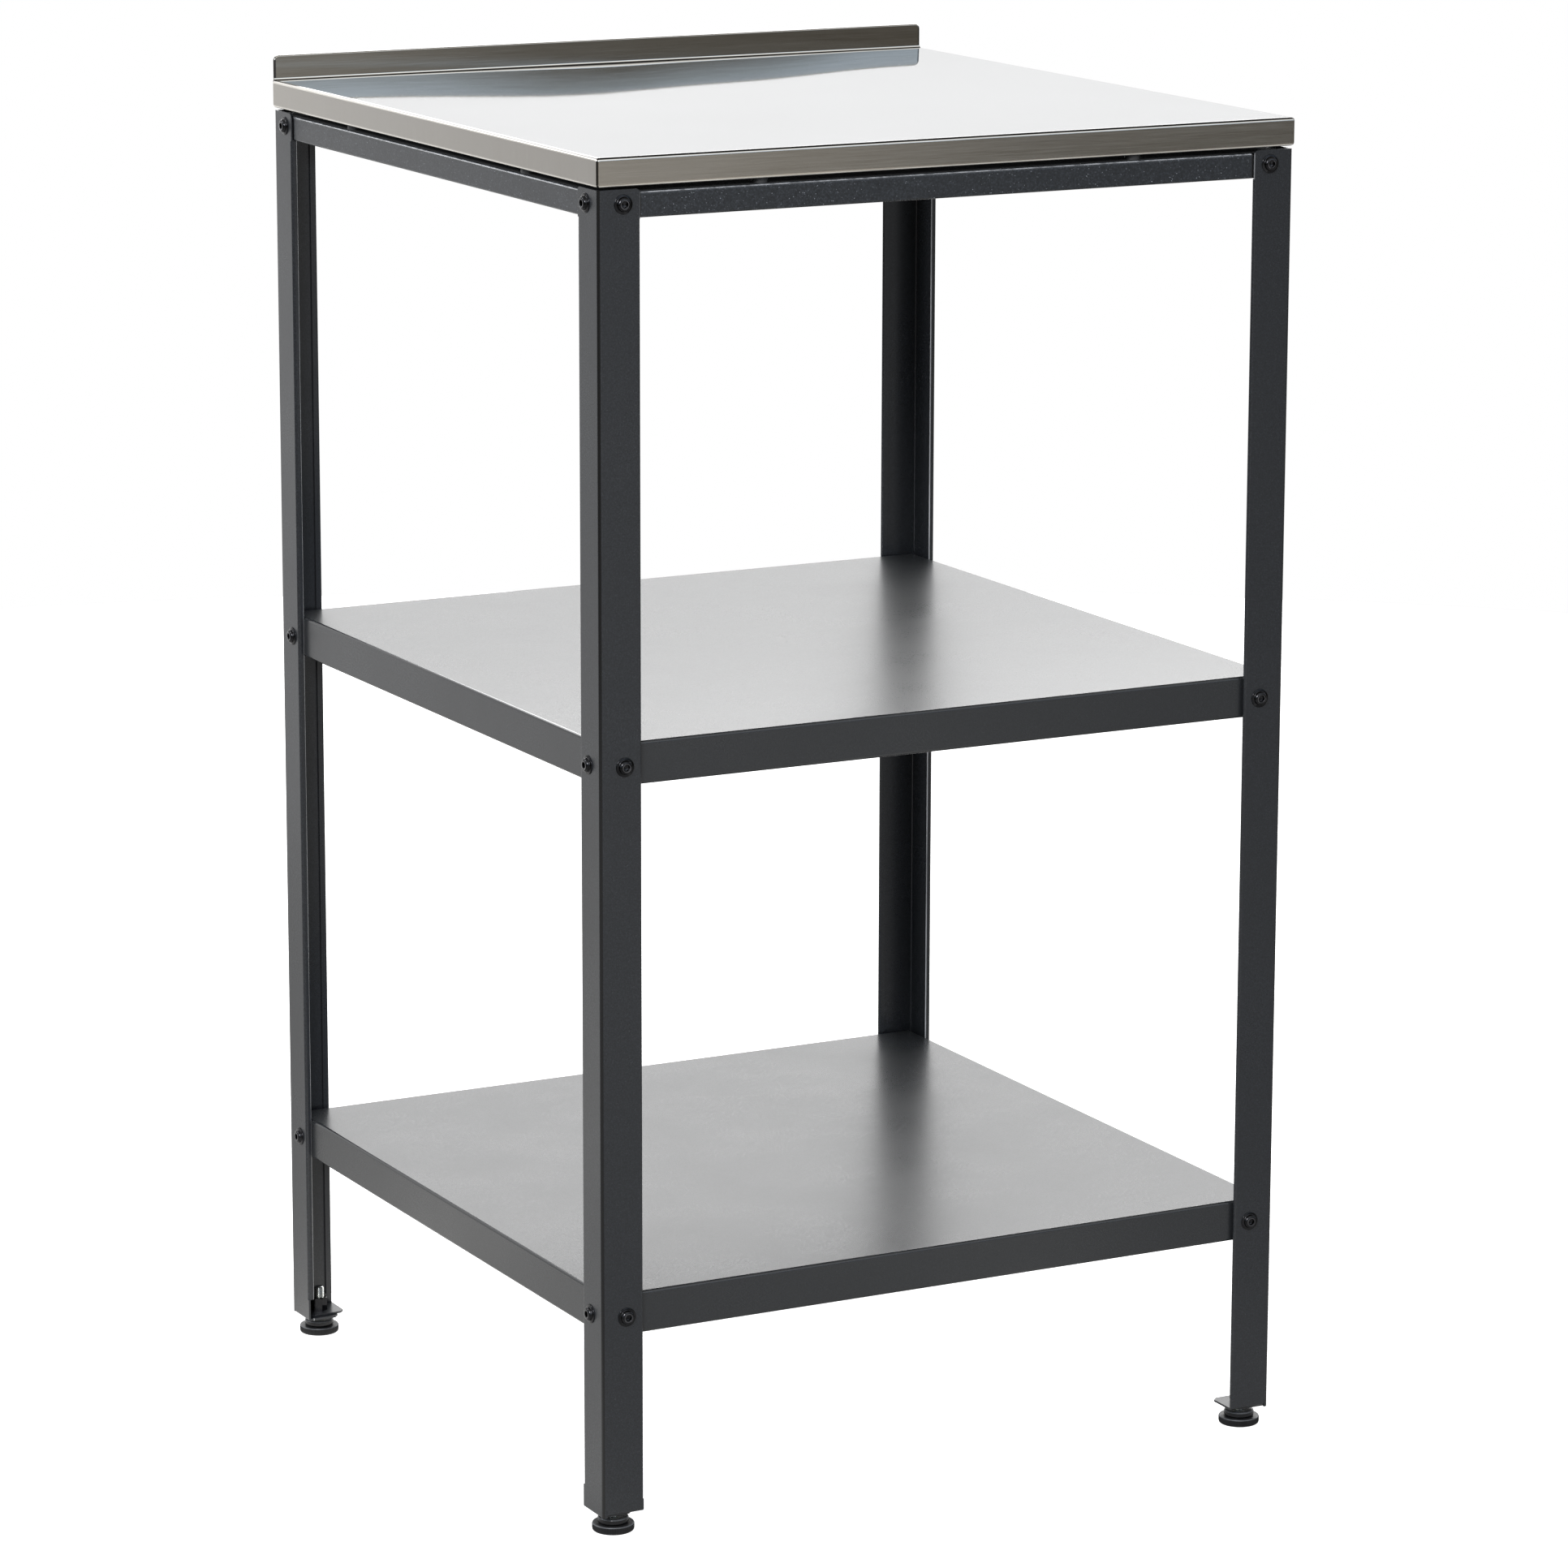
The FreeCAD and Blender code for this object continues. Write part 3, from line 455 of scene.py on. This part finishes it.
def lathe(bm, rows, seg, matrix, close_start=True, close_end=True):
    """rows: a list of functions or (r, z) pairs; a function takes the angle and gives (r, z). Millimetres in, metres out."""
    rings = []
    for row in rows:
        ring = []
        for i in range(seg):
            a = 2 * math.pi * i / seg
            r, z = row(a) if callable(row) else row
            ring.append(bm.verts.new(matrix @ (Vector((r * math.cos(a), r * math.sin(a), z)) * MM)))
        rings.append(ring)
    for r0, r1 in zip(rings, rings[1:]):
        for i in range(seg):
            j = (i + 1) % seg
            bm.faces.new((r0[i], r0[j], r1[j], r1[i]))
    for ring, close, z, flip in ((rings[0], close_start, rows[0], True), (rings[-1], close_end, rows[-1], False)):
        if close is not False:
            zz = (z(0)[1] if callable(z) else z[1]) if close is True else close
            c = bm.verts.new(matrix @ (Vector((0, 0, zz)) * MM))
            for i in range(seg):
                j = (i + 1) % seg
                bm.faces.new((c, ring[j], ring[i]) if flip else (c, ring[i], ring[j]))
    return rings


def arc_points(cx, cz, r, a0, a1, n):
    out = []
    for k in range(n + 1):
        a = math.radians(a0 + (a1 - a0) * k / n)
        out.append((cx + r * math.cos(a), cz + r * math.sin(a)))
    return out


def thread_rows(z0, z1, pitch, major, minor, per_pitch, chamfer_low=0.0, chamfer_high=0.0, hand=1):
    rows = []
    n = max(2, int(round((z1 - z0) / pitch * per_pitch)))
    for k in range(n + 1):
        z = z0 + (z1 - z0) * k / n

        def row(a, z=z):
            ph = (z / pitch - hand * a / (2 * math.pi)) % 1.0
            tri = 1.0 - abs(2.0 * ph - 1.0)
            w = min(1.0, max(0.0, (tri - 0.12) / 0.70))
            r = minor + (major - minor) * w
            if chamfer_low:
                r = min(r, major - chamfer_low + (z - z0))
            if chamfer_high:
                r = min(r, major - chamfer_high + (z1 - z))
            return (r, z)

        rows.append(row)
    return rows


def hex_radius(af, a):
    """Distance from the axis to a hexagon's side at angle a."""
    k = (a % (math.pi / 3)) - math.pi / 6
    return af / 2 / math.cos(k)


def screw_mesh(bm, matrix, rim=6.8, head=3.3, shank=12.0, seg=60):
    """Flanged button-head screw with a hexagon socket; the head is above z = 0."""
    rows = []
    # threaded shank from its tip up to the head
    rows += [(1.5, -shank)]
    rows += thread_rows(-shank, -1.4, 1.0, 2.97, 2.42, 6, chamfer_low=0.7)
    rows += [(2.97, -1.3), (2.97, -0.02), (rim - 0.25, 0.0)]
    # flange with a rolled edge, then the button
    rows += arc_points(rim - 0.32, 0.34, 0.32, -70, 75, 6)
    rows += [(rim - 0.9, 0.72), (rim - 1.35, 0.80)]
    rows += [(rim - 1.62, 0.90), (rim - 1.76, 1.10), (rim - 1.83, 1.40)]
    for k in range(1, 8):
        a = k / 8 * math.pi / 2
        rows.append((3.2 + (rim - 1.85 - 3.2) * math.cos(a), 1.40 + (head - 0.04 - 1.40) * math.sin(a)))
    rows += [(3.05, head), (2.62, head), (2.50, head - 0.03)]
    rows += [lambda a: (hex_radius(4.0, a) + 0.06, head - 0.20)]
    rows += [lambda a: (hex_radius(4.0, a), head - 0.34)]
    rows += [lambda a: (hex_radius(4.0, a), head - 1.95), lambda a: (hex_radius(4.0, a) * 0.94, head - 2.02)]
    # painted highlight: the flat rings round the socket are marked for a lighter colour
    layer = bm.verts.layers.float.get("ring_highlight") or bm.verts.layers.float.new("ring_highlight")
    rings = lathe(bm, rows, seg, matrix, close_start=True, close_end=head - 2.55)
    for k, (row, ring) in enumerate(zip(rows, rings)):
        if not callable(row) and row in ((3.05, head), (2.62, head)):
            for v in ring:
                v[layer] = 1.0


def toward(d, p):
    """Matrix that turns +Z to d and puts the origin at p (metres)."""
    q = Vector((0, 0, 1)).rotation_difference(Vector(d))
    return Matrix.Translation(Vector(p)) @ q.to_matrix().to_4x4()


rng = random.Random(11)


def ring_of_eight(name, node, z):
    bm = bmesh.new()
    for a in (-1, 1):
        for b in (-1, 1):
            for d, p in (((0, b, 0), (a * BX, b * FX, z)), ((a, 0, 0), (a * FX, b * BX, z))):
                spin = Matrix.Rotation(rng.uniform(0, math.pi / 3), 4, "Z")
                screw_mesh(bm, toward(d, p) @ spin)
    o = mesh_object(name, bm, MAT["black_screw"], 40)
    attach(o, "table")
    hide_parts(node)
    return o


ring_of_eight("rail_screw_set", "rail_screws", RAIL_Z)
ring_of_eight("shelf_middle_screw_set", "shelf_middle_screws", MID_Z)
ring_of_eight("shelf_lower_screw_set", "shelf_lower_screws", LOW_Z)


# feet: ribbed pad, and a stud with a real thread
RIBS = 112


def pad_mesh(bm, matrix):
    def rib(r, z, depth=0.34):
        def row(a):
            ph = (a / (2 * math.pi) * RIBS) % 1.0
            s = 0.5 - 0.5 * math.cos(2 * math.pi * ph)
            return (r - depth * (1.0 - s) ** 1.5, z)
        return row
    rows = [(0.6, 2.4), (6.05, 2.4), (6.1, 2.45), (6.1, 6.55), (6.05, 6.6), (4.20, 6.6), (4.14, 6.66), (4.14, 9.9), (4.5, 10.26)]
    rows += [(5.0, 10.3), (9.6, 10.3)] + arc_points(9.75, 9.05, 1.25, 84, 6, 8) + [(11.0, 8.6), (11.0, 6.75)]
    rows += arc_points(10.72, 6.62, 0.27, 0, -80, 3) + [(9.75, 6.34), (9.62, 6.24), (9.60, 5.95), (9.75, 5.74)]
    rows += [(10.4, 5.70), (13.9, 5.66)] + arc_points(14.2, 5.02, 0.62, 85, 35, 5)
    rows += [rib(14.86, 5.12, 0.10), rib(14.95, 4.95), rib(15.0, 4.75), rib(15.0, 3.4), rib(15.0, 1.95), rib(14.97, 1.70), rib(14.85, 1.45, 0.12)]
    rows += arc_points(13.55, 1.35, 1.32, 2, -84, 8)
    rows += [(13.2, 0.0), (9.0, 0.0), (8.6, 0.35), (0.6, 0.35)]
    lathe(bm, rows, RIBS * 4, matrix)


def stud_mesh(bm, matrix):
    rows = [(5.55, 2.5)] + arc_points(5.7, 2.8, 0.3, -90, 0, 3) + [(6.0, 6.15), (5.75, 6.4), (4.05, 6.4), (3.98, 6.45)]
    rows += thread_rows(6.5, 36.0, 1.25, 3.98, 3.30, 7, chamfer_high=0.9)
    lathe(bm, rows, 40, matrix)


for name, sx, sy in (("front_left", -1, -1), ("front_right", 1, -1), ("rear_left", -1, 1), ("rear_right", 1, 1)):
    here = Matrix.Translation(Vector((sx * FOOT, sy * FOOT, 0)))
    bm = bmesh.new()
    pad_mesh(bm, here)
    o = mesh_object("pad_ribbed_" + name, bm, MAT["pad"], 40)
    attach(o, "pad_" + name)
    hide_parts("foot_pad_" + name)
    bm = bmesh.new()
    stud_mesh(bm, here)
    o = mesh_object("stud_threaded_" + name, bm, MAT["zinc"], 50)
    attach(o, "stud_" + name)
    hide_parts("foot_stud_" + name)


# ------------------------------------------------------------------ floor
def du(deg):
    return deg / 360.0 + 0.5


def de(deg):
    return deg / 180.0 + 0.5


def azimuth(t, x, y):
    """0.5 is straight in front of the table, larger to the right."""
    phi = t.math("ARCTAN2", x, t.math("MULTIPLY", y, -1.0))
    return t.math("ADD", t.math("DIVIDE", phi, 2 * math.pi), 0.5)


def low_share(t, x, y):
    """How much of the bright surroundings there is, below eye level."""
    return t.ramp(azimuth(t, x, y), [(du(-180), 0.85), (du(-151), 0.28), (du(-148), 0.30), (du(-145), 0.38), (du(-141), 0.50), (du(-138), 0.68), (du(-134.5), 0.97), (du(-131), 0.93), (du(-126), 0.30), (du(-120), 0.08), (du(-60), 0.05), (du(-15), 0.10), (du(5), 0.50), (du(18), 0.72),
                                     (du(22), 0.90), (du(25), 1.0), (du(27), 0.82), (du(29), 0.03), (du(32.5), 0.0), (du(40), 0.02), (du(48), 0.0), (du(75), 0.12), (du(105), 0.55), (du(130), 0.95), (du(180), 1.0)])


def mid_share(t, x, y):
    """The same, at and above eye level."""
    return t.ramp(azimuth(t, x, y), [(du(-180), 1.0), (du(-165), 0.90), (du(-150), 0.75), (du(-136), 0.25), (du(-120), 0.06), (du(-60), 0.03), (du(-15), 0.06), (du(0), 0.14),
                                     (du(14), 0.10), (du(19), 0.12), (du(23), 0.0), (du(48), 0.0), (du(75), 0.12), (du(105), 0.55), (du(130), 0.95), (du(180), 1.0)])


def make_floor():
    bm = bmesh.new()
    seg, radii = 96, (0.0, 0.4, 0.9, 1.6, 2.4, 3.2)
    c = bm.verts.new((0, 0, 0))
    prev = None
    for r in radii[1:]:
        ring = [bm.verts.new((r * math.cos(2 * math.pi * i / seg), r * math.sin(2 * math.pi * i / seg), 0)) for i in range(seg)]
        for i in range(seg):
            j = (i + 1) % seg
            bm.faces.new((c, ring[i], ring[j]) if prev is None else (prev[i], ring[i], ring[j], prev[j]))
        prev = ring
    m, t = new_material("studio_floor")
    out = t.n("ShaderNodeOutputMaterial")
    tc = t.n("ShaderNodeTexCoord").outputs["Object"]
    a = noise(t, tc, 2.2, 2.0, 0.5)
    sep = t.n("ShaderNodeSeparateXYZ", ins={0: tc})
    share = low_share(t, sep.outputs[0], sep.outputs[1])
    share = t.math("MULTIPLY", share, t.ramp(azimuth(t, sep.outputs[0], sep.outputs[1]), [(du(-180), 1.0), (du(-60), 1.0), (du(-15), 0.3), (du(14), 0.27), (du(20), 0.30), (du(24), 0.52), (du(30), 0.52), (du(38), 0.3), (du(60), 0.3), (du(75), 1.0), (du(180), 1.0)]))
    d = t.n("ShaderNodeBsdfDiffuse", ins={"Color": t.mix(t.maprange(a, 0.3, 0.7), (0.74, 0.74, 0.745), (0.78, 0.78, 0.78))})
    e = t.n("ShaderNodeEmission", ins={"Color": (1.0, 1.0, 1.0, 1.0), "Strength": 0.90})
    seen = t.n("ShaderNodeAddShader", ins={0: d.outputs[0], 1: e.outputs[0]})
    dim = t.n("ShaderNodeBsdfDiffuse", ins={"Color": (0.16, 0.16, 0.16, 1.0)})
    near = t.maprange(t.vmath("LENGTH", tc), 0.50, 0.95, 1.0, 0.0, "SMOOTHSTEP")
    near = t.math("MULTIPLY", near, t.ramp(azimuth(t, sep.outputs[0], sep.outputs[1]), [(du(-180), 0.15), (du(-140), 0.20), (du(-128), 0.55), (du(-95), 0.52), (du(-62), 0.60), (du(-45), 0.30), (du(-20), 0.18), (du(180), 0.15)]))
    share = t.math("MAXIMUM", share, near)
    glow = t.n("ShaderNodeEmission", ins={"Color": (1.0, 0.985, 0.95, 1.0), "Strength": t.maprange(share, 0.0, 1.0, 0.11, 1.0)})
    other = t.n("ShaderNodeAddShader", ins={0: dim.outputs[0], 1: glow.outputs[0]})
    lp = t.n("ShaderNodeLightPath")
    s = t.n("ShaderNodeMixShader", ins={0: lp.outputs["Is Camera Ray"], 1: other.outputs[0], 2: seen.outputs[0]})
    t.link(s.outputs[0], out.inputs[0])
    o = mesh_object("floor", bm, m, 30)
    return o


make_floor()


# ------------------------------------------------------------------ surroundings
def make_world():
    w = bpy.data.worlds.new("studio")
    bpy.context.scene.world = w
    w.use_nodes = True
    t = Tree(w.node_tree)
    out = t.n("ShaderNodeOutputWorld")
    d = t.vmath("NORMALIZE", t.n("ShaderNodeTexCoord").outputs["Generated"])
    x, y, z = t.n("ShaderNodeSeparateXYZ", ins={0: d}).outputs
    el = t.math("ADD", t.math("DIVIDE", t.math("ARCSINE", z), math.pi), 0.5)    # 0 straight down, 1 straight up
    share = t.mix(t.maprange(el, de(-9), de(-3)), low_share(t, x, y), mid_share(t, x, y))
    k = 0.25
    back = t.ramp(el, [(de(-90), 0.6 * k), (de(-20), 0.9 * k), (de(0), 1.05 * k), (de(7), 1.02 * k), (de(12), 1.5 * k), (de(18), 2.1 * k), (de(34), 1.6 * k),
                       (de(40), 0.34 * k), (de(48), 0.26 * k), (de(60), 0.55 * k), (de(90), 0.62 * k)])
    front = t.ramp(el, [(de(-90), (0.3 * k,) * 3), (de(-25), (0.12 * k,) * 3), (de(2.5), (0.11 * k, 0.10 * k, 0.09 * k)), (de(6), (0.60 * k, 0.76 * k, 0.95 * k)),
                        (de(11), (0.84 * k, 1.06 * k, 1.36 * k)), (de(13), (0.86 * k, 1.04 * k, 1.28 * k)), (de(19), (1.0 * k, 1.03 * k, 1.06 * k)), (de(27), (1.2 * k, 1.24 * k, 1.3 * k)), (de(46), (1.2 * k,) * 3), (de(56), (0.7 * k,) * 3), (de(66), (0.6 * k,) * 3), (de(90), (0.62 * k,) * 3)])
    front = t.mix(t.maprange(el, de(5.5), de(11.5)), t.mix(t.maprange(el, de(-2.0), de(-0.5)), (0.10 * k, 0.095 * k, 0.085 * k),
                  t.ramp(azimuth(t, x, y), [(du(-180), (0.5 * k, 0.49 * k, 0.46 * k)), (du(23.3), (0.36 * k, 0.365 * k, 0.365 * k)), (du(24.6), (0.205 * k, 0.205 * k, 0.20 * k)), (du(26), (0.145 * k, 0.145 * k, 0.14 * k)),
                                            (du(29), (0.165 * k, 0.165 * k, 0.16 * k)), (du(60), (0.20 * k, 0.20 * k, 0.195 * k)), (du(130), (0.5 * k, 0.49 * k, 0.46 * k)), (du(180), (0.5 * k, 0.49 * k, 0.46 * k))])), front)
    # the bright band in front thins out towards the right
    thin = t.ramp(azimuth(t, x, y), [(du(-180), 1.0), (du(20), 1.0), (du(29), 0.75), (du(33), 0.60), (du(45), 0.50), (du(60), 0.40), (du(90), 0.20), (du(130), 1.0), (du(180), 1.0)])
    front = t.mix(t.math("MAXIMUM", thin, t.maprange(el, de(14.0), de(11.0))), (0.10 * k, 0.095 * k, 0.09 * k), front)
    col = t.mix(share, front, back)
    around = t.n("ShaderNodeBackground", ins={"Color": col, "Strength": 1.0 / k})
    plain = t.n("ShaderNodeBackground", ins={"Color": (1.0, 1.0, 1.0, 1.0), "Strength": 1.0})
    lp = t.n("ShaderNodeLightPath")
    m = t.n("ShaderNodeMixShader", ins={0: lp.outputs["Is Camera Ray"], 1: around.outputs[0], 2: plain.outputs[0]})
    t.link(m.outputs[0], out.inputs[0])


make_world()


def area(name, loc, aim, size, power, colour=(1, 1, 1), spread=180):
    l = bpy.data.lights.new(name, "AREA")
    l.shape = "RECTANGLE"
    l.size, l.size_y = size
    l.energy = power
    l.color = colour
    l.spread = math.radians(spread)
    o = bpy.data.objects.new(name, l)
    bpy.context.scene.collection.objects.link(o)
    o.location = loc
    o.rotation_mode = "QUATERNION"
    o.rotation_quaternion = (Vector(aim) - Vector(loc)).to_track_quat("-Z", "Y")
    o.visible_camera = False
    return o


area("key_left", (-2.2, -2.4, 2.3), (0, 0, 0.5), (1.0, 1.0), 80)
area("rim_left", (-2.7, 1.5, 2.3), (0, 0, 0.5), (0.8, 0.8), 18)


def backdrop_glow():
    """Lit backdrop behind the table, seen only in reflections; it fades out at its left edge."""
    bm = bmesh.new()
    x0, x1, z0, z1, y = -1.8, 2.6, 0.02, 2.4, 1.75
    bm.faces.new([bm.verts.new(p) for p in ((x0, y, z0), (x1, y, z0), (x1, y, z1), (x0, y, z1))])
    m, t = new_material("backdrop_light")
    out = t.n("ShaderNodeOutputMaterial")
    s = t.n("ShaderNodeSeparateXYZ", ins={0: t.n("ShaderNodeTexCoord").outputs["Object"]})
    side = t.maprange(s.outputs[0], -1.95, -0.55, 0.20, 1.0, "SMOOTHSTEP")
    k = 0.12

    def profile(stops):
        return t.ramp(t.maprange(s.outputs[2], 0.0, 2.4), [(z / 2.4, v * k) for z, v in stops])

    on_left = profile([(0.0, 1.3), (0.10, 1.4), (0.20, 1.02), (0.42, 1.08), (0.50, 1.3), (0.60, 1.3), (0.66, 1.15), (0.80, 1.10), (1.30, 1.0), (1.42, 1.2), (1.52, 4.0), (1.95, 4.0), (2.05, 0.8), (2.4, 0.3)])
    low_left = profile([(0.0, 1.0), (0.10, 1.08), (0.20, 1.02), (0.42, 1.06), (0.50, 1.16), (0.60, 1.10), (0.66, 1.12), (0.80, 1.10), (1.30, 1.0), (1.42, 1.2), (1.52, 4.0), (1.95, 4.0), (2.05, 0.8), (2.4, 0.3)])
    on_left = t.mix(t.maprange(s.outputs[0], -1.18, -0.98), on_left, low_left)
    on_right = profile([(0.0, 0.55), (0.12, 0.7), (0.35, 1.2), (0.66, 2.5), (0.86, 2.05), (0.94, 1.36), (1.04, 0.92), (1.12, 1.0), (1.31, 0.98), (1.37, 7.0), (1.95, 7.0), (2.05, 0.8), (2.4, 0.3)])
    up = t.mix(t.maprange(s.outputs[0], -0.3, 0.1), on_left, on_right)
    e = t.n("ShaderNodeEmission", ins={"Color": up, "Strength": t.math("MULTIPLY", side, 1.0 / k)})
    t.link(e.outputs[0], out.inputs[0])
    o = mesh_object("backdrop_glow", bm, m, 30)
    o.visible_camera = False
    o.visible_shadow = False


backdrop_glow()

# ------------------------------------------------------------------ camera
F, YAW, PITCH, ROLL = 7589.71895664016, 0.484527142046334, 0.2193283261594662, -0.002439735472211357
EYE = Vector((-1.7982968013505686 - 0.275, -3.686661313243552 - 0.275, 1.4568392938355234))
fwd = Vector((math.sin(YAW) * math.cos(PITCH), math.cos(YAW) * math.cos(PITCH), -math.sin(PITCH)))
right = Vector((math.cos(YAW), -math.sin(YAW), 0))
down = fwd.cross(right)
r2 = right * math.cos(ROLL) + down * math.sin(ROLL)
d2 = down * math.cos(ROLL) - right * math.sin(ROLL)
rot = Matrix((r2, -d2, -fwd)).transposed()
cam = bpy.data.cameras.new("camera")
cam.sensor_fit = "HORIZONTAL"
cam.sensor_width = 36.0
cam.lens = F / 1932 * 36.0
cam.clip_start, cam.clip_end = 0.05, 60.0
camera = bpy.data.objects.new("camera", cam)
bpy.context.scene.collection.objects.link(camera)
camera.matrix_world = Matrix.Translation(EYE) @ rot.to_4x4()
bpy.context.scene.camera = camera

scene = bpy.context.scene
scene.view_settings.view_transform = "Standard"
scene.view_settings.look = "None"
scene.view_settings.exposure = 0.0
scene.view_settings.gamma = 1.0
